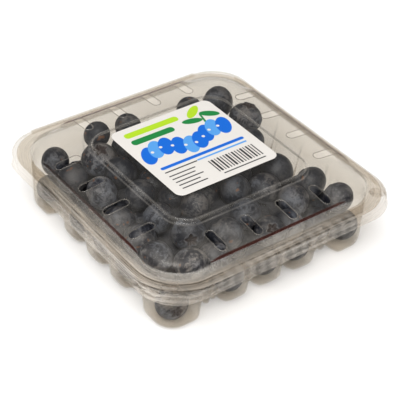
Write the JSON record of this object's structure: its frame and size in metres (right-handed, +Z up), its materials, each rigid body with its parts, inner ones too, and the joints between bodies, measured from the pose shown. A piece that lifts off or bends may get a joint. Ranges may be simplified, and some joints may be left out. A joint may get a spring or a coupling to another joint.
{
  "type": "punnet of blueberries",
  "caption": "Clear square clamshell punnet filled with blueberries, with a hinged vented lid and a square paper label on its raised top.",
  "frame": {"origin": "under the middle of the closed punnet, on the plane that its four corner feet stand on", "axes": "+Z up, +Y towards the hinged back, -Y towards the opening front, +X to the right seen from the front"},
  "size_m": [0.1236, 0.126, 0.0367],
  "materials": {
    "clear_sheet": "clear glossy thermoformed plastic sheet, slightly warm in tint",
    "label_paper": "satin coated label paper",
    "berry_skin": null
  },
  "bodies": {
    "base": {"tray": "clear_sheet", "berries": "berry_skin"},
    "cover": {"lid": "clear_sheet", "label": "label_paper"}
  },
  "joints": [
    {"name": "lid_hinge", "type": "hinge", "parent": "base", "child": "cover", "pos_m": [0, 0.063, 0.02735], "axis": [-1, 0, 0], "range_deg": [0, 180]}
  ]
}
